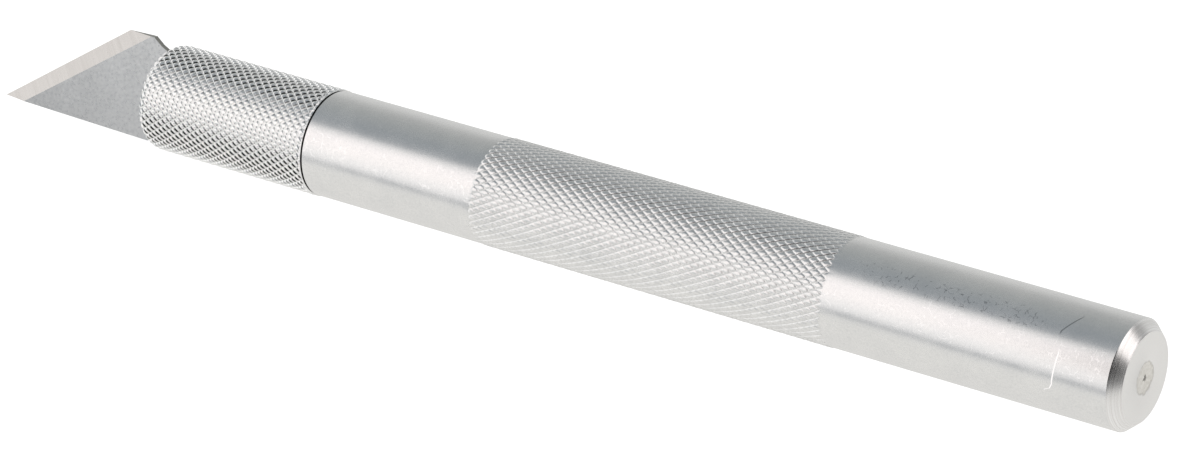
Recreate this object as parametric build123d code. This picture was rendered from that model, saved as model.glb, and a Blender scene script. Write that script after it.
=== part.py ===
from build123d import *
import math
import os

# Hobby craft knife: a turned aluminium handle, a knurled collar that screws on its
# nose, a split collet that the collar squeezes, and an angled blade held in the collet.
# Millimetres. The origin is the centre of the butt face, +X runs along the handle to
# the blade's tip, and +Z is up in the plane of the blade.

# Handle: a bar with a chamfered butt, a knurled grip band and a reduced nose
HANDLE_R = 6.0
BUTT_FACE_R = 4.94
BUTT_CHAMFER_X = 1.22
GRIP_START_X = 34.8
GRIP_END_X = 79.3
GRIP_R = 6.07
SHOULDER_X = 101.84
EDGE_BREAK = 0.12
BORE_R = 3.75
BORE_END_X = 96.0
SPIGOT_END_X = 113.8
SPIGOT_CHAMFER = 0.35

# Thread between the handle's nose and the collar: one start, 60 degree flanks
THREAD_PITCH = 1.0
THREAD_ROOT_R = 4.52
THREAD_CREST_R = 5.10
THREAD_ROOT_WIDTH = 0.76
THREAD_GAP = 0.07
THREAD_START_X = 102.8
THREAD_TURNS = 10
FLANK_ANGLE = math.radians(30)
FLANK_TAN = math.tan(FLANK_ANGLE)
FUSE_DEPTH = 0.08

# Collar: the radius is measured over the crests of its knurl
SEAM_GAP = 0.14
COLLAR_R = 6.12
COLLAR_END_X = 125.1
NOSE_ROUND_LENGTH = 1.2
NOSE_ROUND_DEPTH = 0.62
COLLAR_EDGE_BREAK = 0.12
COLLAR_THREAD_END_X = 114.6
COLLAR_LEAD_TURNS = 1
CONE_START_X = 117.2
CONE_WIDE_R = 4.86
CONE_NARROW_R = 4.16

# Collet: a sleeve split into four jaws, with a tapered head in the collar's cone
COLLET_TAIL_GAP = 0.05
COLLET_TAIL_X = 96.1
COLLET_BORE_R = 2.2
JAW_ROOT_X = 100.4
HEAD_START_X = 114.2
HEAD_FLARE_X = 115.3
NOSE_X = 124.7
CONE_GAP = 0.03
HEAD_EDGE_BREAK = 0.25
JAW_SLOT_WIDTH = 0.8

# Blade: (x, z) corners of its outline, with the cutting edge from TIP to HEEL
BLADE_THICKNESS = 0.58
BLADE_GAP = 0.03
BEVEL_WIDTH_TIP = 1.62
BEVEL_WIDTH_HEEL = 1.77
TIP = (149.15, -5.63)
HEEL = (130.8, 6.62)
HEAD_TOP = (127.15, 6.63)
UPPER_SHOULDER = (126.1, 5.82)
SHOULDER_X_FRONT = 125.3
UPPER_SHOULDER_Z = 5.43
LOWER_SHOULDER = (126.5, -5.36)
LOWER_SHOULDER_Z = -4.95
SPINE_BACK = (128.0, -6.05)
SPINE_MIDDLE = (140.9, -5.80)
TANG_HALF = 3.25
TANG_END_X = 101.9
TANG_SLOT_WIDTH = 2.4
TANG_SLOT_START_X = 105.0
TANG_SLOT_END_X = 118.5

# How far cutting shapes run past the solids that they cut
OVERRUN = 1.0
BEVEL_OVERRUN = 8.0


def turned(points):
    """Solid of revolution about X from (x, radius) points."""
    outline = make_face(Polyline(*[(x, 0, r) for x, r in points], close=True))
    return revolve(outline, axis=Axis.X, revolution_arc=360).solid()


def thread_ridge(start_x, turns, base_r, base_width, tip_r):
    """Helical ridge about X, from base_r out to tip_r, with sloping flanks."""
    tip_width = base_width - 2 * (tip_r - base_r) * FLANK_TAN
    path = Helix(THREAD_PITCH, THREAD_PITCH * turns, base_r)
    section = Polyline(
        (base_r, 0, -base_width / 2),
        (tip_r, 0, -tip_width / 2),
        (tip_r, 0, tip_width / 2),
        (base_r, 0, base_width / 2),
        close=True,
    )
    ridge = sweep(make_face(section), path=path, is_frenet=True)
    ridge = ridge.rotate(Axis.Y, 90)
    return ridge.translate((start_x, 0, 0)).solid()


def make_handle():
    body = turned([
        (0, 0),
        (0, BUTT_FACE_R),
        (BUTT_CHAMFER_X, HANDLE_R),
        (GRIP_START_X, HANDLE_R),
        (GRIP_START_X, GRIP_R),
        (GRIP_END_X, GRIP_R),
        (GRIP_END_X, HANDLE_R),
        (SHOULDER_X - EDGE_BREAK, HANDLE_R),
        (SHOULDER_X, HANDLE_R - EDGE_BREAK),
        (SHOULDER_X, THREAD_ROOT_R),
        (SPIGOT_END_X - SPIGOT_CHAMFER, THREAD_ROOT_R),
        (SPIGOT_END_X, THREAD_ROOT_R - SPIGOT_CHAMFER),
        (SPIGOT_END_X, 0),
    ])
    base_r = THREAD_ROOT_R - FUSE_DEPTH
    base_width = THREAD_ROOT_WIDTH + 2 * FUSE_DEPTH * FLANK_TAN
    body += thread_ridge(THREAD_START_X, THREAD_TURNS, base_r, base_width, THREAD_CREST_R)
    body -= turned([
        (BORE_END_X, 0),
        (BORE_END_X, BORE_R),
        (SPIGOT_END_X + OVERRUN, BORE_R),
        (SPIGOT_END_X + OVERRUN, 0),
    ])
    return body.solid()


def collar_outline():
    """Section of the collar's wall, with a rounded nose and a stepped, coned bore."""
    back_x = SHOULDER_X + SEAM_GAP
    crest_r = THREAD_ROOT_R + THREAD_GAP
    round_start = (COLLAR_END_X - NOSE_ROUND_LENGTH, 0, COLLAR_R)
    round_end = (COLLAR_END_X, 0, COLLAR_R - NOSE_ROUND_DEPTH)
    walls = Polyline(
        round_end,
        (COLLAR_END_X, 0, CONE_NARROW_R),
        (CONE_START_X, 0, CONE_WIDE_R),
        (COLLAR_THREAD_END_X + CONE_WIDE_R - crest_r, 0, CONE_WIDE_R),
        (COLLAR_THREAD_END_X, 0, crest_r),
        (back_x + THREAD_CREST_R - crest_r, 0, crest_r),
        (back_x, 0, THREAD_CREST_R + THREAD_GAP),
        (back_x, 0, COLLAR_R - COLLAR_EDGE_BREAK),
        (back_x + COLLAR_EDGE_BREAK, 0, COLLAR_R),
        round_start,
    )
    nose = TangentArc(round_start, round_end, tangent=(1, 0, 0))
    return make_face([walls, nose])


def make_collar():
    body = revolve(collar_outline(), axis=Axis.X, revolution_arc=360).solid()
    crest_r = THREAD_ROOT_R + THREAD_GAP
    groove_r = THREAD_CREST_R + THREAD_GAP
    base_r = crest_r - FUSE_DEPTH
    widening = 2 * THREAD_GAP / math.cos(FLANK_ANGLE)
    width_change = 2 * (THREAD_ROOT_R - base_r) * FLANK_TAN
    base_width = THREAD_ROOT_WIDTH + width_change + widening
    start_x = THREAD_START_X - COLLAR_LEAD_TURNS * THREAD_PITCH
    turns = THREAD_TURNS + 2 * COLLAR_LEAD_TURNS
    body -= thread_ridge(start_x, turns, base_r, base_width, groove_r)
    return body.solid()


def jaw_slot(width, angle):
    """Slot through the whole collet from the jaw root to past the nose."""
    length = NOSE_X + OVERRUN - JAW_ROOT_X
    slot = Box(length, width, 4 * HANDLE_R)
    slot = slot.translate((JAW_ROOT_X + length / 2, 0, 0))
    return slot.rotate(Axis.X, angle)


def make_collet():
    tail_r = BORE_R - COLLET_TAIL_GAP
    slope = (CONE_WIDE_R - CONE_NARROW_R) / (COLLAR_END_X - CONE_START_X)
    nose_r = CONE_NARROW_R + slope * (COLLAR_END_X - NOSE_X) - CONE_GAP
    head_r = CONE_WIDE_R - CONE_GAP
    body = turned([
        (COLLET_TAIL_X, COLLET_BORE_R),
        (COLLET_TAIL_X, tail_r),
        (HEAD_START_X, tail_r),
        (HEAD_FLARE_X, head_r - HEAD_EDGE_BREAK),
        (CONE_START_X, head_r),
        (NOSE_X, nose_r),
        (NOSE_X, COLLET_BORE_R),
    ])
    body -= jaw_slot(BLADE_THICKNESS + 2 * BLADE_GAP, 0)
    body -= jaw_slot(JAW_SLOT_WIDTH, 90)
    return body.solid()


def blade_outline():
    head = Polyline(
        (SHOULDER_X_FRONT, TANG_HALF),
        (SHOULDER_X_FRONT, UPPER_SHOULDER_Z),
        UPPER_SHOULDER,
        HEAD_TOP,
        HEEL,
        TIP,
        SPINE_MIDDLE,
        SPINE_BACK,
        LOWER_SHOULDER,
        (SHOULDER_X_FRONT, LOWER_SHOULDER_Z),
        (SHOULDER_X_FRONT, -TANG_HALF),
        (TANG_END_X, -TANG_HALF),
        (TANG_END_X, TANG_HALF),
        close=True,
    )
    return make_face(Plane.XZ * head)


def bevel_cutter(side):
    """Wedge that takes one side of the blade down to the cutting edge."""
    edge = Vector(HEEL[0] - TIP[0], 0, HEEL[1] - TIP[1])
    length = edge.length
    along = edge.normalized()
    outward = Vector(-along.Z, 0, along.X)
    if outward.Z < 0:
        outward = outward * -1
    half = BLADE_THICKNESS / 2

    def section(distance, width):
        slope = half / width
        centre = Vector(TIP[0], 0, TIP[1]) + along * distance
        top = half + slope * OVERRUN
        corners = [
            (0.0, 0.0),
            (-width - OVERRUN, top),
            (OVERRUN, top),
            (OVERRUN, -slope * OVERRUN),
        ]
        points = []
        for out, up in corners:
            points.append(centre + outward * out + Vector(0, side * up, 0))
        return make_face(Polyline(*points, close=True))

    rate = (BEVEL_WIDTH_HEEL - BEVEL_WIDTH_TIP) / length
    reach = BEVEL_OVERRUN
    tip_width = BEVEL_WIDTH_TIP - rate * reach
    heel_width = BEVEL_WIDTH_HEEL + rate * reach
    return loft([section(-reach, tip_width), section(length + reach, heel_width)], ruled=True)


def make_blade():
    body = extrude(blade_outline(), amount=BLADE_THICKNESS / 2, both=True).solid()
    for side in (1, -1):
        body -= bevel_cutter(side)
    slot_length = TANG_SLOT_END_X - TANG_SLOT_START_X
    slot_middle = (TANG_SLOT_START_X + TANG_SLOT_END_X) / 2
    slot = extrude(SlotOverall(slot_length, TANG_SLOT_WIDTH), amount=BLADE_THICKNESS, both=True)
    body -= slot.rotate(Axis.X, 90).translate((slot_middle, 0, 0))
    return body.solid()


PARTS = {
    "handle": make_handle,
    "collar": make_collar,
    "collet": make_collet,
    "blade": make_blade,
}

os.makedirs("parts", exist_ok=True)
for name, make in PARTS.items():
    part = make()
    part.label = name
    print(name, part.is_valid, round(part.volume, 2), part.bounding_box())
    export_step(part, f"parts/{name}.step")
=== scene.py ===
import math

import bpy
from mathutils import Matrix, Vector


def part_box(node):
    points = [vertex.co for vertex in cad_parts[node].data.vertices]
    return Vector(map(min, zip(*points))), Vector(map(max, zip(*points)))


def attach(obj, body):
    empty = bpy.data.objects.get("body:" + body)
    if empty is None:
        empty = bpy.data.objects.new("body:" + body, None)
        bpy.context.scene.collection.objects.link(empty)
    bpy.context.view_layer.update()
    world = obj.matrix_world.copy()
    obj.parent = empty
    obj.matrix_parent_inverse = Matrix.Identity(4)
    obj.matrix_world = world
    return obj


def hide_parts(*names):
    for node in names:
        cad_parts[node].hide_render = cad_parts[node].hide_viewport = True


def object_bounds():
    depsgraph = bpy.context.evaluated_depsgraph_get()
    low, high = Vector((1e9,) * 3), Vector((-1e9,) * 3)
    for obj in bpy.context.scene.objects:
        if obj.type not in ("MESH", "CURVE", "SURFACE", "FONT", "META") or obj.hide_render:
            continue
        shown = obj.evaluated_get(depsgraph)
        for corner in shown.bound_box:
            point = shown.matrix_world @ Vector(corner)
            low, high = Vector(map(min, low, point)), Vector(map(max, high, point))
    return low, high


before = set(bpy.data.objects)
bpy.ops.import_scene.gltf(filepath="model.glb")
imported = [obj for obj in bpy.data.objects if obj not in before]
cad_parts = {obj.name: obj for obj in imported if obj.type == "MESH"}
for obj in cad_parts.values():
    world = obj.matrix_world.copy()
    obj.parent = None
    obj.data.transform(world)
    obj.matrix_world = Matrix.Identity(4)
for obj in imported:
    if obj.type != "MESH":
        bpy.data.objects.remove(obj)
cad_low, cad_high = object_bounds()

# Hobby craft knife, in metres. +X runs from the butt to the blade's tip, +Z is up in
# the plane of the blade, and the origin is the centre of the butt face. Angles round
# the X axis start at +Y and rise towards +Z.
MM = 0.001
FULL_TURN = 2 * math.pi

# Handle, with a turned spot in the middle of its butt face and a rounded nib in that:
# its top and a point on its side are shares of the spot's depth and the nib's radius
HANDLE_R = 6.0 * MM
BUTT_FACE_R = 4.94 * MM
BUTT_CHAMFER_X = 1.22 * MM
SPOT_R = 1.75 * MM
SPOT_DEPTH = 0.06 * MM
SPOT_WALL = 0.12 * MM
NIB_R = 0.32 * MM
NIB_TOP = 0.1
NIB_ROUND = (0.3, 0.55)
GRIP_START_X = 34.8 * MM
GRIP_END_X = 79.3 * MM
SHOULDER_X = 101.84 * MM
EDGE_BREAK = 0.06 * MM
BORE_R = 3.75 * MM
BORE_END_X = 96.0 * MM
NOSE_CHAMFER = 0.35 * MM
NOSE_OVERLAP = 0.01 * MM
NOSE_COLUMNS = 96
HANDLE_CRISP_ANGLE = 28

# Points that round the two edges of the butt's chamfer, as X and radius off its corners
FACE_EDGE = ((0.0, -0.04 * MM), (0.03 * MM, 0.0))
BARREL_EDGE = ((-0.04 * MM, -0.05 * MM), (0.0, -0.015 * MM), (0.06 * MM, 0.0))

# Thread between the nose and the collar: a single start, phased as in the CAD
THREAD_PITCH = 1.0 * MM
THREAD_ROOT_R = 4.52 * MM
THREAD_CREST_R = 5.10 * MM
THREAD_ROOT_WIDTH = 0.76 * MM
THREAD_GAP = 0.07 * MM
THREAD_START_X = 102.8 * MM
THREAD_END_X = 112.8 * MM
THREAD_PHASE = 0.25
THREAD_FADE = 0.4 * THREAD_PITCH
FLANK_ANGLE = math.radians(30)
FLANK_TAN = math.tan(FLANK_ANGLE)
NOSE_ROWS_PER_TURN = 20
COLLAR_ROWS_PER_TURN = 16

# Knurls: how many grooves of each family go round, the length along X from one to the
# next, and their depth. Each family's section is pairs of phase and height, from a
# groove's bottom to the middle of a ridge. The twist is in radians for each metre.
# A plain surface has one column of mesh where the knurl beside it has four.
COLUMNS_PER_PLAIN = 4
GRIP_STARTS = 46
GRIP_PERIOD = 1.473 * MM
GRIP_DEPTH = 0.12 * MM
GRIP_RISING = ((0.0, 0.0), (0.05, 0.28), (0.17, 0.78), (0.34, 0.92), (0.5, 1.0))
GRIP_FALLING = ((0.0, 0.25), (0.06, 0.38), (0.18, 0.84), (0.34, 0.94), (0.5, 1.0))
COLLAR_STARTS = 40
COLLAR_PERIOD = 1.177 * MM
COLLAR_TWIST = 10.8
COLLAR_DEPTH = 0.22 * MM
COLLAR_RISING = ((0.0, 0.0), (0.05, 0.07), (0.20, 0.74), (0.35, 0.89), (0.5, 1.0))
COLLAR_FALLING = ((0.0, 0.0), (0.08, 0.10), (0.24, 0.86), (0.37, 0.95), (0.5, 1.0))

# How the grip's band rises from the barrel and its grooves start, and how far from it
# the barrel's mesh becomes plain and its marks and tone set in
GRIP_RISE_LENGTH = 0.18 * MM
GRIP_FADE_LENGTH = 0.35 * MM
GRIP_FADE_START = 0.2
GRIP_MARGIN = 0.1 * MM
GRIP_BORDER = 1.0 * MM
GRIP_TONE_BLEND = 0.2 * MM

# Collar
NOSE_ROUND_LENGTH = 1.2 * MM
NOSE_ROUND_DEPTH = 0.62 * MM
COLLAR_CHAMFER = 0.05 * MM
COLLAR_RUN_OUT = 0.45 * MM
COLLAR_CRISP_ANGLE = 18
COLLAR_THREAD_END_X = 114.6 * MM
COLLAR_THREAD_START = 0.05 * MM
CONE_START_X = 117.2 * MM
CONE_WIDE_R = 4.86 * MM
CONE_NARROW_R = 4.16 * MM

# Blade: the ends of its cutting edge in the X-Z plane, and the painted shade that
# darkens its sides towards the tip, by X less a share of Z
BLADE_TIP = (149.15 * MM, -5.63 * MM)
BLADE_HEEL = (130.8 * MM, 6.62 * MM)
PAINTED_SHADE_SLANT = 1.6
PAINTED_SHADE_SPAN = (119 * MM, 157 * MM)

# Marks on the barrel: where they start, are full, are still full and end, as angles
# in degrees or as X. Hairline scratches are painted white as a highlight only at the
# angles of the light band, nicks painted dark as shade only at those of the dark band
HAIR_PAINTED_GLINT_ANGLES = (3, 8, 38, 46)
NICK_PAINTED_SHADE_ANGLES = (38, 44, 60, 66)
NICK_X = (9 * MM, 11 * MM, 30 * MM, 33 * MM)

# The long scratch: from one angle to another, its X goes from one value to another;
# all lines after the first are added to it. Then its ends, as for the other marks, and
# how far from its middle its edge starts and ends.
SCRATCH_PATH = (
    (69, 47, 6.40 * MM, 7.75 * MM),
    (42, 25, 0.0, -0.58 * MM),
    (25, -4, 0.0, 0.25 * MM),
    (-7, -12, 0.0, 0.22 * MM),
    (-12, -15, 0.0, 0.62 * MM),
)
SCRATCH_ANGLES = (-17, -15, 66, 72)
SCRATCH_EDGE = (0.10 * MM, 0.05 * MM)

# Which way the polished wall of a cut below the light band faces
CUT_NORMAL = (0.0, 0.966, 0.259)

# Plain colours, of marks and of the blade's cut edge. The white of pale cuts is a
# painted highlight and the dark of cuts is painted shade
WHITE = (1.0, 1.0, 1.0, 1.0)
CUT_PAINTED_SHADE = (0.20, 0.21, 0.22, 1.0)
SPOT_RIM = (0.50, 0.49, 0.46, 1.0)
NIB_DARK = (0.16, 0.15, 0.14, 1.0)
CUT_EDGE = (0.34, 0.34, 0.32, 1.0)

# Floor: it shines evenly by itself
FLOOR_COLOUR = (0.3, 0.3, 0.3, 1.0)
FLOOR_ROUGHNESS = 0.9
FLOOR_HALF_SIZE = 30.0
FLOOR_GAP = 0.02 * MM

# Camera: where it stands, which ways are right and up in its picture, and its lens
CAMERA_AT = Vector((-0.20386, 0.41622, 0.19627))
CAMERA_RIGHT = Vector((-0.82848, -0.55829, 0.04394))
CAMERA_UP = Vector((0.24077, -0.28424, 0.92803))
LENS = 149.1
SENSOR = 36.0


# ---------------------------------------------------------------- mesh helpers

def ring(x, radii, twist=0.0):
    """One closed row of points round the X axis, at equal angles."""
    count = len(radii)
    points = []
    for i, r in enumerate(radii):
        t = FULL_TURN * i / count + twist
        points.append((x, r * math.cos(t), r * math.sin(t)))
    return points


class Skin:
    """A closed surface laid row by row round the X axis."""

    def __init__(self):
        self.points = []
        self.faces = []
        self.last = None

    def add(self, points):
        start = len(self.points)
        self.points.extend(points)
        return list(range(start, start + len(points)))

    def row(self, points, falling=None):
        """Adds a row of points and joins it to the last one."""
        new = self.add(points)
        if self.last is not None:
            self.join(self.last, new, falling)
        self.last = new

    def plain(self, x, r, columns, twist=0.0):
        self.row(ring(x, [r] * columns, twist))

    def turned(self, outline, columns):
        """Adds a plain row for each (x, radius) of an outline."""
        for x, r in outline:
            self.plain(x, r, columns)

    def join(self, old, new, falling=None):
        if len(old) == len(new):
            self.join_equal(old, new, falling)
        else:
            self.join_unequal(old, new)

    def join_equal(self, old, new, falling):
        n = len(new)
        for i in range(n):
            k = (i + 1) % n
            a, b, c, d = old[i], old[k], new[k], new[i]
            if falling is None:
                self.faces.append((d, c, b, a))
            elif falling[i]:
                self.faces.append((d, b, a))
                self.faces.append((d, c, b))
            else:
                self.faces.append((c, b, a))
                self.faces.append((d, c, a))

    def join_unequal(self, old, new):
        """Joins rows of which one has a whole multiple of the other's points."""
        many, few = (old, new) if len(old) > len(new) else (new, old)
        step = len(many) // len(few)
        half = (step + 1) // 2
        for i in range(len(few)):
            k = (i + 1) % len(few)
            fan = [many[(i * step + s) % len(many)] for s in range(step + 1)]
            for s in range(step):
                corner = few[i] if s < half else few[k]
                self.triangle(fan[s], fan[s + 1], corner, many is new)
            self.triangle(fan[half], few[k], few[i], many is new)

    def triangle(self, a, b, c, flip):
        self.faces.append((a, b, c) if flip else (c, b, a))

    def cap(self, x, first):
        """Closes the surface in a point on the axis, at its first or its last row."""
        centre = self.add([(x, 0.0, 0.0)])[0]
        n = len(self.last)
        for i in range(n):
            a, b = self.last[i], self.last[(i + 1) % n]
            self.faces.append((a, b, centre) if first else (b, a, centre))


def as_object(name, points, faces, crisp_angle=None):
    mesh = bpy.data.meshes.new(name)
    mesh.from_pydata(points, [], faces)
    mesh.validate()
    mesh.update()
    obj = bpy.data.objects.new(name, mesh)
    bpy.context.scene.collection.objects.link(obj)
    if crisp_angle is not None:
        mesh.polygons.foreach_set("use_smooth", [True] * len(mesh.polygons))
        mesh.set_sharp_from_angle(angle=math.radians(crisp_angle))
    return obj


# ---------------------------------------------------------------- knurl and thread

class Knurl:
    """Crossed helical grooves on a cylinder, on a grid that follows both of them.

    Each family of grooves is half a section, as pairs of phase and height from the
    groove's bottom to the middle of its ridge. The grid has a line at each phase."""

    STEPS = 4
    CELLS = 2 * STEPS

    def __init__(self, starts, period, depth, rising, falling, twist=0.0):
        self.starts = starts
        self.period = period
        self.depth = depth
        self.rising = rising
        self.falling = falling
        self.twist = twist
        self.columns = starts * self.CELLS

    def phase(self, groove, line):
        whole = round(line / self.CELLS)
        rest = line - whole * self.CELLS
        return whole + math.copysign(groove[abs(rest)][0], rest)

    def height(self, rising_line, falling_line):
        """Height where two grid lines cross: 0 at the deepest bottom, 1 at a top."""
        heights = []
        for groove, line in ((self.rising, rising_line), (self.falling, falling_line)):
            rest = line - round(line / self.CELLS) * self.CELLS
            heights.append(groove[abs(rest)][1])
        return min(heights)

    def diagonals(self, j):
        """For each cell between rows j and j + 1, whether to split it the falling way."""
        falling = []
        for i in range(self.columns):
            a = j + i
            b = j - i
            middle = self.height(a + 1, b)
            rise = (self.height(a, b) + self.height(a + 2, b)) / 2
            fall = (self.height(a + 1, b - 1) + self.height(a + 1, b + 1)) / 2
            falling.append(abs(fall - middle) < abs(rise - middle))
        return falling

    def lay(self, skin, start, end, surface, limit, fade):
        """Lays rows from start to end; surface and limit give radii, fade the depth."""
        count = round((end - start) * self.CELLS / self.period)
        for j in range(count + 1):
            points = []
            for i in range(self.columns):
                a = self.phase(self.rising, j + i)
                b = self.phase(self.falling, j - i)
                along = (a + b) / 2
                if j in (0, count):
                    along = j / self.CELLS
                x = start + (end - start) * along * self.CELLS / count
                t = FULL_TURN * (a - b) / 2 / self.starts + self.twist * (x - start)
                r = surface(x) - self.depth * (1.0 - self.height(j + i, j - i)) * fade(x)
                r = min(r, limit(x))
                points.append((x, r * math.cos(t), r * math.sin(t)))
            skin.row(points, self.diagonals(j - 1) if j > 0 else None)


def thread_radius(x, angle, gap):
    """Radius of the thread's surface; gap moves it outward for the collar's side."""
    turn = (x - THREAD_START_X) / THREAD_PITCH - angle / FULL_TURN - THREAD_PHASE
    from_ridge = abs(turn - round(turn)) * THREAD_PITCH
    widening = gap / math.cos(FLANK_ANGLE)
    rise = (THREAD_ROOT_WIDTH / 2 + widening - from_ridge) / FLANK_TAN
    return THREAD_ROOT_R + min(max(rise, gap), THREAD_CREST_R - THREAD_ROOT_R + gap)


def lay_thread(skin, start, end, columns, rows_per_turn, gap, lead=None):
    """Lays rows of thread that fades out at its ends, or at its end runs into a lead."""
    count = round(abs(end - start) / THREAD_PITCH * rows_per_turn)
    for j in range(count + 1):
        x = start + (end - start) * j / count
        inside = abs(x - start) if lead else min(abs(x - start), abs(x - end))
        fade = min(1.0, inside / THREAD_FADE)
        least = lead(x) if lead else 0.0
        radii = []
        for i in range(columns):
            r = thread_radius(x, FULL_TURN * i / columns, gap)
            faded = THREAD_ROOT_R + gap + (r - THREAD_ROOT_R - gap) * fade
            radii.append(max(least, faded))
        skin.row(ring(x, radii))


# ---------------------------------------------------------------- handle

def build_handle():
    """The handle's body up to its shoulder, with its bore; the nose is apart."""
    knurl = Knurl(GRIP_STARTS, GRIP_PERIOD, GRIP_DEPTH, GRIP_RISING, GRIP_FALLING)
    grip_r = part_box("handle")[1].z
    skin = Skin()
    coarse = knurl.columns // COLUMNS_PER_PLAIN
    skin.plain(SPOT_DEPTH * NIB_ROUND[0], NIB_R * NIB_ROUND[1], coarse)
    skin.cap(SPOT_DEPTH * NIB_TOP, first=True)
    skin.turned([
        (SPOT_DEPTH, NIB_R),
        (SPOT_DEPTH, SPOT_R - SPOT_WALL),
        (0.0, SPOT_R),
        *[(x, BUTT_FACE_R + r) for x, r in FACE_EDGE],
        *[(BUTT_CHAMFER_X + x, HANDLE_R + r) for x, r in BARREL_EDGE],
        (GRIP_START_X - GRIP_BORDER, HANDLE_R),
    ], coarse)
    skin.plain(GRIP_START_X - GRIP_MARGIN, HANDLE_R, knurl.columns)

    def from_end(x):
        return max(0.0, min(x - GRIP_START_X, GRIP_END_X - x))

    def surface(x):
        return HANDLE_R + (grip_r - HANDLE_R) * min(1.0, from_end(x) / GRIP_RISE_LENGTH)

    def limit(x):
        return grip_r

    def fade(x):
        return min(1.0, GRIP_FADE_START + from_end(x) / GRIP_FADE_LENGTH)

    knurl.lay(skin, GRIP_START_X, GRIP_END_X, surface, limit, fade)
    skin.plain(GRIP_END_X + GRIP_MARGIN, HANDLE_R, knurl.columns)
    skin.turned([
        (GRIP_END_X + GRIP_BORDER, HANDLE_R),
        (SHOULDER_X - EDGE_BREAK, HANDLE_R),
        (SHOULDER_X, HANDLE_R - EDGE_BREAK),
        (SHOULDER_X, BORE_R),
        (BORE_END_X, BORE_R),
    ], coarse)
    skin.cap(BORE_END_X, first=False)
    return as_object("knurled_handle", skin.points, skin.faces, HANDLE_CRISP_ANGLE)


def build_nose():
    """The handle's threaded nose, a tube that stands on the shoulder."""
    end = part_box("handle")[1].x
    start = SHOULDER_X - NOSE_OVERLAP
    skin = Skin()
    skin.plain(start, THREAD_ROOT_R, NOSE_COLUMNS)
    first = skin.last
    thread_start = THREAD_START_X - THREAD_FADE
    thread_end = THREAD_END_X + THREAD_FADE
    lay_thread(skin, thread_start, thread_end, NOSE_COLUMNS, NOSE_ROWS_PER_TURN, gap=0.0)
    skin.turned([
        (end - NOSE_CHAMFER, THREAD_ROOT_R),
        (end, THREAD_ROOT_R - NOSE_CHAMFER),
        (end, BORE_R),
        (start, BORE_R),
    ], NOSE_COLUMNS)
    skin.join(skin.last, first)
    return as_object("threaded_nose", skin.points, skin.faces, HANDLE_CRISP_ANGLE)


# ---------------------------------------------------------------- collar

def build_collar():
    """The collar: its knurl outside, and its cone, step and thread inside."""
    knurl = Knurl(
        COLLAR_STARTS, COLLAR_PERIOD, COLLAR_DEPTH,
        COLLAR_RISING, COLLAR_FALLING, COLLAR_TWIST,
    )
    low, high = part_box("collar")
    crest_r = high.z
    bore_r = THREAD_ROOT_R + THREAD_GAP
    relief_r = THREAD_CREST_R + THREAD_GAP
    arc_r = (NOSE_ROUND_LENGTH ** 2 + NOSE_ROUND_DEPTH ** 2) / (2 * NOSE_ROUND_DEPTH)
    coarse = knurl.columns // COLUMNS_PER_PLAIN
    skin = Skin()
    skin.plain(low.x, relief_r, coarse)
    first = skin.last

    def surface(x):
        front = max(0.0, x - (high.x - NOSE_ROUND_LENGTH))
        return crest_r - arc_r + math.sqrt(arc_r ** 2 - front ** 2)

    def limit(x):
        return crest_r - max(0.0, COLLAR_CHAMFER - (x - low.x))

    def fade(x):
        return min(1.0, (x - low.x) / COLLAR_RUN_OUT)

    knurl.lay(skin, low.x, high.x, surface, limit, fade)
    twist = knurl.twist * (high.x - low.x)
    skin.plain(high.x, crest_r - NOSE_ROUND_DEPTH - knurl.depth, coarse, twist)
    skin.turned([
        (high.x, CONE_NARROW_R),
        (CONE_START_X, CONE_WIDE_R),
        (COLLAR_THREAD_END_X + CONE_WIDE_R - bore_r, CONE_WIDE_R),
    ], coarse)

    def lead(x):
        return relief_r - (x - low.x)

    thread_start = low.x + COLLAR_THREAD_START
    rows = COLLAR_ROWS_PER_TURN
    lay_thread(skin, COLLAR_THREAD_END_X, thread_start, coarse, rows, THREAD_GAP, lead)
    skin.join(skin.last, first)
    return as_object("knurled_collar", skin.points, skin.faces, COLLAR_CRISP_ANGLE)


# ---------------------------------------------------------------- materials

def set_stops(ramp, stops):
    """Gives a colour ramp its stops, as pairs of position and colour."""
    elements = ramp.color_ramp.elements
    while len(elements) < len(stops):
        elements.new(0.5)
    for element, (at, colour) in zip(elements, stops):
        element.position = at
        element.color = (*colour, 1.0)


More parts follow.
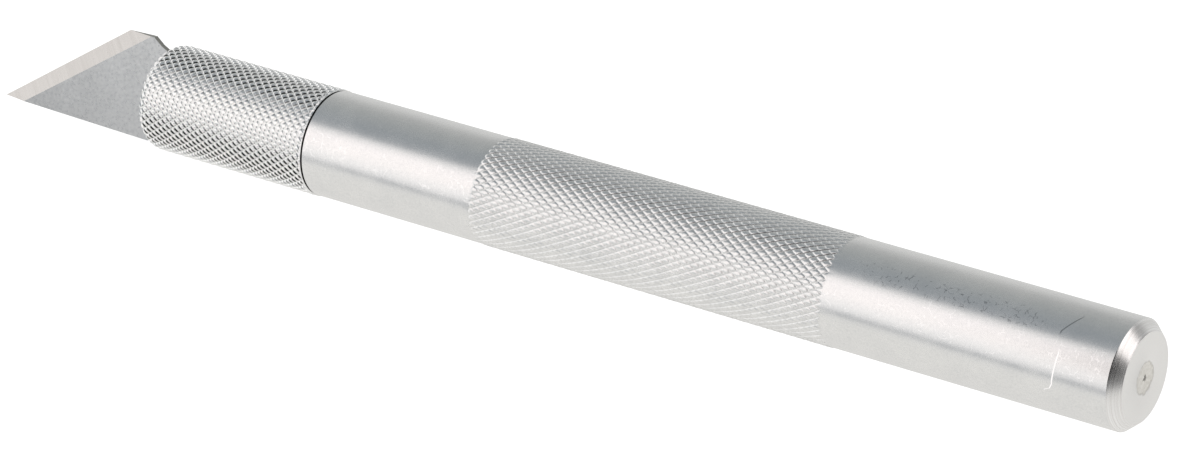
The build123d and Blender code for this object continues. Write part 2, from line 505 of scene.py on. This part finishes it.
class Nodes:
    """A metal, with short calls that make shader nodes and join them."""

    def __init__(self, name):
        self.material = bpy.data.materials.new(name)
        self.material.use_nodes = True
        self.tree = self.material.node_tree
        self.tree.nodes.clear()
        self.shader = self.make("ShaderNodeBsdfPrincipled")
        out = self.make("ShaderNodeOutputMaterial")
        self.tree.links.new(self.shader.outputs["BSDF"], out.inputs["Surface"])
        self.place = self.make("ShaderNodeTexCoord").outputs["Object"]

    def make(self, kind, **settings):
        node = self.tree.nodes.new(kind)
        for key, value in settings.items():
            setattr(node, key, value)
        return node

    def put(self, value, socket):
        """Gives an input a constant, or links it to an output."""
        if isinstance(value, bpy.types.NodeSocket):
            self.tree.links.new(value, socket)
        else:
            socket.default_value = value

    def math(self, operation, a, b=0.0):
        node = self.make("ShaderNodeMath", operation=operation)
        self.put(a, node.inputs[0])
        self.put(b, node.inputs[1])
        return node.outputs["Value"]

    def times(self, a, b):
        return self.math("MULTIPLY", a, b)

    def axes(self):
        """X, Y and Z of the point."""
        node = self.make("ShaderNodeSeparateXYZ")
        self.put(self.place, node.inputs["Vector"])
        return node.outputs["X"], node.outputs["Y"], node.outputs["Z"]

    def noise(self, scale, detail=3.0, roughness=0.55, stretch=(1, 1, 1), turn=(0, 0, 0)):
        """Noise, turned and then stretched, with its scale in cells for each metre."""
        mapping = self.make("ShaderNodeMapping")
        self.put(self.place, mapping.inputs["Vector"])
        self.put(turn, mapping.inputs["Rotation"])
        stretched = self.make("ShaderNodeMapping")
        self.put(mapping.outputs["Vector"], stretched.inputs["Vector"])
        self.put(stretch, stretched.inputs["Scale"])
        node = self.make("ShaderNodeTexNoise")
        self.put(stretched.outputs["Vector"], node.inputs["Vector"])
        self.put(scale, node.inputs["Scale"])
        self.put(detail, node.inputs["Detail"])
        self.put(roughness, node.inputs["Roughness"])
        return node.outputs["Fac"]

    def hairlines(self, scale, width, bend, seed):
        """Thin curved lines, as the edges of warped cells: 1 on a line, 0 off it."""
        wander = self.make("ShaderNodeTexNoise")
        self.put(self.place, wander.inputs["Vector"])
        self.put(scale * 0.9, wander.inputs["Scale"])
        shift = self.make("ShaderNodeVectorMath", operation="MULTIPLY_ADD")
        self.put(wander.outputs["Color"], shift.inputs[0])
        self.put((bend, bend, bend), shift.inputs[1])
        offset = self.make("ShaderNodeVectorMath", operation="ADD")
        self.put(self.place, offset.inputs[0])
        self.put((seed, seed, seed), offset.inputs[1])
        self.put(offset.outputs["Vector"], shift.inputs[2])
        cells = self.make("ShaderNodeTexVoronoi", feature="DISTANCE_TO_EDGE")
        self.put(shift.outputs["Vector"], cells.inputs["Vector"])
        self.put(scale, cells.inputs["Scale"])
        return self.span(cells.outputs["Distance"], 0.0, width, 1.0, 0.0)

    def span(self, value, from_low, from_high, low=0.0, high=1.0):
        """Goes from low to high while the value goes between its two ends."""
        node = self.make("ShaderNodeMapRange")
        self.put(value, node.inputs["Value"])
        self.put(from_low, node.inputs["From Min"])
        self.put(from_high, node.inputs["From Max"])
        self.put(low, node.inputs["To Min"])
        self.put(high, node.inputs["To Max"])
        return node.outputs["Result"]

    def band(self, value, start, full, last, end):
        """1 between full and last, and down to 0 at start and at end."""
        return self.times(self.span(value, start, full), self.span(value, end, last))

    def ramp(self, value, stops):
        node = self.make("ShaderNodeValToRGB")
        set_stops(node, stops)
        self.put(value, node.inputs["Fac"])
        return node.outputs["Color"]

    def blend(self, factor, a, b, kind="MIX"):
        """Mixes two colours. The node's colour inputs are 6 and 7, its output 2."""
        node = self.make("ShaderNodeMix", data_type="RGBA", blend_type=kind)
        self.put(factor, node.inputs["Factor"])
        self.put(a, node.inputs[6])
        self.put(b, node.inputs[7])
        return node.outputs[2]

    def bump(self, value, height, normal=None):
        node = self.make("ShaderNodeBump")
        self.put(1.0, node.inputs["Strength"])
        self.put(height, node.inputs["Distance"])
        self.put(value, node.inputs["Height"])
        if normal is not None:
            self.put(normal, node.inputs["Normal"])
        return node.outputs["Normal"]

    def finish(self, colour, rough, normal):
        self.put(colour, self.shader.inputs["Base Color"])
        self.put(rough, self.shader.inputs["Roughness"])
        self.put(normal, self.shader.inputs["Normal"])
        self.shader.inputs["Metallic"].default_value = 1.0
        return self.material


def long_scratch(m, x, angle):
    """The one long scratch near the butt: down the barrel's side, with a hooked end."""
    path = m.span(angle, *SCRATCH_PATH[0])
    for bend in SCRATCH_PATH[1:]:
        path = m.math("ADD", path, m.span(angle, *bend))
    off = m.math("ABSOLUTE", m.math("SUBTRACT", x, path))
    return m.times(m.span(off, *SCRATCH_EDGE), m.band(angle, *SCRATCH_ANGLES))


def butt_face(m, radius, grain, fine):
    """The colour of the butt's face, with its duller spot, the spot's rim and the nib."""
    face = m.ramp(fine, [(0.3, (0.95, 0.945, 0.94)), (0.7, (1.0, 1.0, 0.99))])
    wavy = m.math("ADD", radius, m.span(m.noise(1300, 2.0), 0.3, 0.7, -0.13 * MM, 0.13 * MM))
    in_spot = m.times(m.span(wavy, SPOT_R + 0.05 * MM, SPOT_R - 0.05 * MM), 0.85)
    spot = m.ramp(grain, [(0.35, (0.74, 0.72, 0.67)), (0.6, (0.95, 0.935, 0.90))])
    face = m.blend(in_spot, face, spot)
    off_rim = m.math("ABSOLUTE", m.math("SUBTRACT", wavy, SPOT_R))
    on_rim = m.span(off_rim, 0.16 * MM, 0.04 * MM, 0.0, 0.36)
    face = m.blend(on_rim, face, SPOT_RIM)
    ragged = m.times(m.span(grain, 0.3, 0.7, -1.0, 1.0), NIB_R * 0.6)
    ragged = m.math("ADD", radius, ragged)
    on_nib = m.span(ragged, NIB_R * 1.1, NIB_R * 0.8, 0.0, 0.8)
    return m.blend(on_nib, face, NIB_DARK)


def bright_aluminium(name):
    """The handle's aluminium: cloudy, finely grained, with marks of use and turning; the white
    and dark of its scratches and nicks are painted highlight and painted shade.
    """
    m = Nodes(name)
    x, y, z = m.axes()
    angle = m.times(m.math("ARCTAN2", z, y), 180 / math.pi)
    radius = m.math("SQRT", m.math("ADD", m.times(y, y), m.times(z, z)))
    on_face = m.span(radius, BUTT_FACE_R, BUTT_FACE_R - 0.05 * MM)
    on_face = m.times(on_face, m.span(x, 1.0 * MM, 0.5 * MM))
    on_chamfer = m.span(x, BUTT_CHAMFER_X + 0.05 * MM, BUTT_CHAMFER_X - 0.05 * MM)
    on_chamfer = m.math("SUBTRACT", on_chamfer, on_face)
    before_grip = m.span(x, GRIP_START_X, GRIP_START_X - GRIP_TONE_BLEND)
    after_grip = m.span(x, GRIP_END_X, GRIP_END_X + GRIP_TONE_BLEND)
    off_grip = m.math("MAXIMUM", before_grip, after_grip)

    cloud = m.noise(240, 4.0, 0.6)
    grain = m.noise(3200, 5.0, 0.8)
    fine = m.noise(7500, 3.0, 0.7)
    rings = m.noise(1.0, 2.0, 0.6, stretch=(8000, 50, 50))
    patches = m.noise(150, 2.0, 0.6)
    # Hairline scratches, kept to the angles of the barrel's light band, where their white is a
    # painted highlight
    hairline_painted_glint = m.hairlines(1100, 0.06, 0.0007, 0.31)
    hairline_painted_glint = m.times(hairline_painted_glint, m.span(m.noise(1500, 2.0), 0.50, 0.54))
    hairline_painted_glint = m.times(hairline_painted_glint, m.span(patches, 0.42, 0.54, 0.25, 1.0))
    hairline_painted_glint = m.times(hairline_painted_glint, m.band(angle, *HAIR_PAINTED_GLINT_ANGLES))
    hairline_painted_glint = m.times(hairline_painted_glint, m.times(off_grip, m.span(x, 1.5 * MM, 2.5 * MM)))
    # Nicks, kept to the angles of the barrel's dark band, where their dark colour is painted
    # shade
    nick_painted_shade = m.hairlines(1300, 0.06, 0.0009, 0.77)
    nick_painted_shade = m.times(nick_painted_shade, m.span(m.noise(1700, 2.0), 0.53, 0.56))
    nick_painted_shade = m.times(nick_painted_shade, m.band(angle, *NICK_PAINTED_SHADE_ANGLES))
    nick_painted_shade = m.times(nick_painted_shade, m.band(x, *NICK_X))
    scratch = long_scratch(m, x, angle)
    # The long scratch is painted dark as shade where it crosses the dark band, and white as a
    # painted highlight below about 25 degrees
    scratch_painted_shade = m.times(scratch, m.span(angle, 42, 46))
    scratch_painted_glint = m.times(scratch, m.span(angle, 30, 25))

    colour = m.ramp(grain, [
        (0.25, (0.82, 0.825, 0.83)),
        (0.5, (0.91, 0.91, 0.905)),
        (0.75, (0.96, 0.955, 0.95)),
    ])
    clouds = m.ramp(cloud, [(0.3, (0.93, 0.935, 0.94)), (0.7, (1.0, 1.0, 1.0))])
    colour = m.blend(1.0, colour, clouds, "MULTIPLY")
    mottle = m.noise(1100, 2.0, 0.6)
    uneven = m.ramp(mottle, [(0.36, (0.95, 0.95, 0.95)), (0.6, (1.02, 1.02, 1.02))])
    uneven = m.blend(off_grip, uneven, WHITE)
    colour = m.blend(1.0, colour, uneven, "MULTIPLY")
    # Painted highlight: the hairlines and the lower part of the long scratch turn white
    painted_glint_cuts = m.math("MAXIMUM", m.times(hairline_painted_glint, 0.7), scratch_painted_glint)
    colour = m.blend(painted_glint_cuts, colour, WHITE)
    # Painted shade: the nicks and the upper part of the long scratch turn dark
    painted_shade_cuts = m.times(m.math("MAXIMUM", nick_painted_shade, scratch_painted_shade), 0.7)
    colour = m.blend(painted_shade_cuts, colour, CUT_PAINTED_SHADE)
    ringed = m.ramp(rings, [(0.35, (0.84, 0.83, 0.82)), (0.65, (1.0, 1.0, 1.0))])
    colour = m.blend(on_chamfer, colour, ringed)
    colour = m.blend(on_face, colour, butt_face(m, radius, grain, fine))

    rough = m.span(cloud, 0.3, 0.7, 0.20, 0.27)
    rough = m.math("ADD", rough, m.span(fine, 0.3, 0.7, -0.04, 0.05))
    rough = m.math("ADD", rough, m.times(on_face, 0.25))
    rough = m.math("MAXIMUM", rough, 0.10)
    rough = m.blend(painted_glint_cuts, rough, (0.12, 0.12, 0.12, 1.0))

    normal = m.bump(m.noise(420, 3.0, 0.5), 0.006 * MM)
    normal = m.bump(grain, 0.0045 * MM, normal)
    normal = m.bump(m.times(rings, on_chamfer), 0.008 * MM, normal)
    surface = m.make("ShaderNodeNewGeometry").outputs["Normal"]
    turned_up = m.blend(m.span(angle, 14, 6), surface, (*CUT_NORMAL, 1.0))
    normal = m.blend(painted_glint_cuts, normal, turned_up)
    return m.finish(colour, rough, normal)


def knurled_aluminium(name):
    """The collar's aluminium, cleaner and brighter than the handle's."""
    m = Nodes(name)
    cloud = m.noise(240, 3.0, 0.5)
    grain = m.noise(3600, 4.0, 0.65)
    colour = m.ramp(grain, [(0.3, (0.90, 0.905, 0.905)), (0.7, (0.97, 0.97, 0.965))])
    clouds = m.ramp(cloud, [(0.3, (0.96, 0.965, 0.97)), (0.7, (1.0, 1.0, 1.0))])
    colour = m.blend(1.0, colour, clouds, "MULTIPLY")
    rough = m.span(grain, 0.3, 0.7, 0.10, 0.18)
    return m.finish(colour, rough, m.bump(grain, 0.0015 * MM))


def blade_steel(name):
    """Stamped strip, blue-grey and mottled, with a paler ground bevel, and painted shade that
    darkens its sides towards the tip.
    """
    m = Nodes(name)
    face = m.make("ShaderNodeSeparateXYZ")
    m.put(m.make("ShaderNodeTexCoord").outputs["Normal"], face.inputs["Vector"])
    across = m.math("ABSOLUTE", face.outputs["Y"])
    on_bevel = m.band(across, 0.90, 0.95, 0.9925, 0.9965)
    on_edge = m.span(across, 0.6, 0.4)
    mottle = m.noise(2600, 3.0, 0.6)
    cloud = m.noise(170, 3.0, 0.6)
    x, _, z = m.axes()
    # Painted light and shade: the sides are painted lighter near the upper shoulder and darker
    # towards the tip, along this slant
    slanted = m.math("SUBTRACT", x, m.times(z, PAINTED_SHADE_SLANT))
    painted_shade_towards_tip = m.span(slanted, *PAINTED_SHADE_SPAN)
    slope = math.atan2(BLADE_TIP[1] - BLADE_HEEL[1], BLADE_TIP[0] - BLADE_HEEL[0])
    marks = m.noise(1.0, 3.0, 0.6, stretch=(1800, 100, 100), turn=(0, slope, 0))
    strip = m.ramp(mottle, [(0.25, (0.64, 0.655, 0.67)), (0.75, (0.77, 0.78, 0.79))])
    shade = m.ramp(painted_shade_towards_tip, [(0.0, (1.07, 1.065, 1.06)), (1.0, (0.83, 0.83, 0.83))])
    strip = m.blend(1.0, strip, shade, "MULTIPLY")
    clouds = m.ramp(cloud, [(0.3, (0.93, 0.93, 0.93)), (0.7, (1.0, 1.0, 1.0))])
    strip = m.blend(1.0, strip, clouds, "MULTIPLY")
    ground = m.ramp(marks, [(0.3, (0.69, 0.665, 0.64)), (0.7, (0.77, 0.745, 0.72))])
    colour = m.blend(on_bevel, strip, ground)
    colour = m.blend(on_edge, colour, CUT_EDGE)
    rough = m.span(mottle, 0.3, 0.7, 0.25, 0.34)
    rough = m.math("SUBTRACT", rough, m.times(on_bevel, 0.06))
    normal = m.bump(mottle, 0.003 * MM)
    normal = m.bump(m.times(marks, on_bevel), 0.002 * MM, normal)
    return m.finish(colour, rough, normal)


def collet_steel(name):
    """Plain grey steel with fine turning rings."""
    m = Nodes(name)
    grain = m.noise(2400, 4.0, 0.6)
    rings = m.noise(1.0, 3.0, 0.7, stretch=(9000, 60, 60))
    colour = m.ramp(grain, [(0.3, (0.50, 0.51, 0.52)), (0.7, (0.60, 0.61, 0.62))])
    rough = m.span(grain, 0.3, 0.7, 0.28, 0.38)
    return m.finish(colour, rough, m.bump(rings, 0.004 * MM))


# ---------------------------------------------------------------- studio

# Light round the X axis, as angle in degrees and colour, with a white table below.
# A direction that leans towards the blade meets a soft box on the camera's side and a
# dark ceiling. One that leans towards the butt meets a dark room on that side and a
# soft box overhead. SIDE_BLEND is the X over which the second turns into the first.
BLADE_SIDE = [
    (-180, (0.68, 0.68, 0.67)),
    (-140, (0.75, 0.74, 0.72)),
    (-38, (0.79, 0.78, 0.755)),
    (-29, (0.78, 0.775, 0.765)),
    (-23, (0.30, 0.32, 0.34)),
    (-17, (0.79, 0.785, 0.785)),
    (-6, (1.00, 0.98, 0.97)),
    (16, (1.14, 1.08, 1.06)),
    (37, (1.14, 1.08, 1.07)),
    (48, (0.92, 0.90, 0.89)),
    (59, (0.34, 0.36, 0.38)),
    (76, (0.29, 0.315, 0.335)),
    (112, (0.37, 0.385, 0.385)),
    (134, (0.45, 0.455, 0.45)),
    (158, (0.64, 0.64, 0.63)),
    (180, (0.68, 0.68, 0.67)),
]
BUTT_SIDE = [
    (-180, (0.70, 0.69, 0.67)),
    (-130, (0.80, 0.79, 0.77)),
    (-50, (0.74, 0.73, 0.71)),
    (-36, (0.67, 0.66, 0.65)),
    (-27, (0.27, 0.27, 0.27)),
    (30, (0.26, 0.26, 0.26)),
    (60, (0.20, 0.20, 0.20)),
    (75, (1.22, 1.17, 1.15)),
    (120, (1.25, 1.19, 1.17)),
    (131, (0.32, 0.32, 0.32)),
    (146, (0.34, 0.34, 0.34)),
    (162, (0.60, 0.59, 0.58)),
    (180, (0.68, 0.67, 0.66)),
]
SIDE_BLEND = (-0.54, -0.28)

# A bright wall beyond the blade, by the X of a direction
END_LIGHT = (1.02, 1.01, 1.00)
END_BLEND = (0.64, 0.85)

# The dark opening on the camera's side: the share of light that is left in it, and
# where its edge starts and ends, in degrees off its middle
OPENING_SHARE = 0.03
OPENING_BLEND = (45, 24)


def build_world():
    """The studio, as light by direction."""
    world = bpy.data.worlds.new("studio")
    bpy.context.scene.world = world
    world.use_nodes = True
    tree = world.node_tree
    tree.nodes.clear()
    make = tree.nodes.new
    join = tree.links.new
    direction = make("ShaderNodeTexCoord").outputs["Generated"]
    split = make("ShaderNodeSeparateXYZ")
    join(direction, split.inputs["Vector"])

    def share(value, low, high):
        """How far a value has gone from low to high, eased at both ends."""
        node = make("ShaderNodeMapRange")
        node.interpolation_type = "SMOOTHSTEP"
        node.inputs["From Min"].default_value = low
        node.inputs["From Max"].default_value = high
        join(value, node.inputs["Value"])
        return node.outputs["Result"]

    def mixed(factor, first, second):
        node = make("ShaderNodeMixRGB")
        join(factor, node.inputs["Fac"])
        for socket, colour in ((node.inputs["Color1"], first), (node.inputs["Color2"], second)):
            if isinstance(colour, bpy.types.NodeSocket):
                join(colour, socket)
            else:
                socket.default_value = (*colour, 1.0)
        return node.outputs["Color"]

    angle = make("ShaderNodeMath")
    angle.operation = "ARCTAN2"
    join(split.outputs["Z"], angle.inputs[0])
    join(split.outputs["Y"], angle.inputs[1])
    turn = make("ShaderNodeMapRange")
    turn.inputs["From Min"].default_value = -math.pi
    turn.inputs["From Max"].default_value = math.pi
    join(angle.outputs["Value"], turn.inputs["Value"])

    def light_round(stops):
        ramp = make("ShaderNodeValToRGB")
        set_stops(ramp, [((degrees + 180) / 360, colour) for degrees, colour in stops])
        join(turn.outputs["Result"], ramp.inputs["Fac"])
        return ramp.outputs["Color"]

    lean = split.outputs["X"]
    light = mixed(share(lean, *SIDE_BLEND), light_round(BUTT_SIDE), light_round(BLADE_SIDE))
    light = mixed(share(lean, *END_BLEND), light, END_LIGHT)

    sight = make("ShaderNodeVectorMath")
    sight.operation = "DOT_PRODUCT"
    join(direction, sight.inputs[0])
    sight.inputs[1].default_value = CAMERA_RIGHT.cross(CAMERA_UP)
    edges = [math.cos(math.radians(degrees)) for degrees in OPENING_BLEND]
    opening = make("ShaderNodeMath")
    opening.operation = "MULTIPLY"
    join(share(sight.outputs["Value"], *edges), opening.inputs[0])
    opening.inputs[1].default_value = 1.0 - OPENING_SHARE
    light = mixed(opening.outputs["Value"], light, (0.0, 0.0, 0.0))

    back = make("ShaderNodeBackground")
    join(light, back.inputs["Color"])
    join(back.outputs["Background"], make("ShaderNodeOutputWorld").inputs["Surface"])


def build_floor():
    """A white sheet under the knife that shows no shadow and lights nothing."""
    size = FLOOR_HALF_SIZE
    z = cad_low.z - FLOOR_GAP
    points = [(-size, -size, z), (size, -size, z), (size, size, z), (-size, size, z)]
    floor = as_object("floor", points, [(0, 1, 2, 3)])
    material = bpy.data.materials.new("pale_floor")
    material.use_nodes = True
    shader = material.node_tree.nodes["Principled BSDF"]
    shader.inputs["Base Color"].default_value = FLOOR_COLOUR
    shader.inputs["Roughness"].default_value = FLOOR_ROUGHNESS
    shader.inputs["Emission Color"].default_value = WHITE
    shader.inputs["Emission Strength"].default_value = 1.0
    floor.data.materials.append(material)
    floor.visible_glossy = False
    floor.visible_diffuse = False
    floor.visible_shadow = False


def build_camera():
    data = bpy.data.cameras.new("camera")
    data.sensor_width = SENSOR
    data.sensor_fit = "HORIZONTAL"
    data.lens = LENS
    camera = bpy.data.objects.new("camera", data)
    bpy.context.scene.collection.objects.link(camera)
    back = CAMERA_RIGHT.cross(CAMERA_UP)
    turn = Matrix((CAMERA_RIGHT, CAMERA_UP, back)).transposed().to_4x4()
    camera.matrix_world = Matrix.Translation(CAMERA_AT) @ turn
    bpy.context.scene.camera = camera


# ---------------------------------------------------------------- the knife

def put_on(obj, body, node, material):
    obj.data.materials.append(material)
    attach(obj, body)
    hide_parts(node)


def refinish(node, material):
    """Gives a CAD node that stays as it is a better material."""
    mesh = bpy.data.objects[node].data
    mesh.materials.clear()
    mesh.materials.append(material)


build_camera()
build_world()
build_floor()
smooth = bright_aluminium("bright_aluminium")
put_on(build_handle(), "handle", "handle", smooth)
put_on(build_nose(), "handle", "handle", smooth)
put_on(build_collar(), "collar", "collar", knurled_aluminium("knurled_aluminium"))
refinish("blade", blade_steel("blade_steel"))
refinish("collet", collet_steel("collet_steel"))

bpy.context.scene.view_settings.view_transform = "Standard"
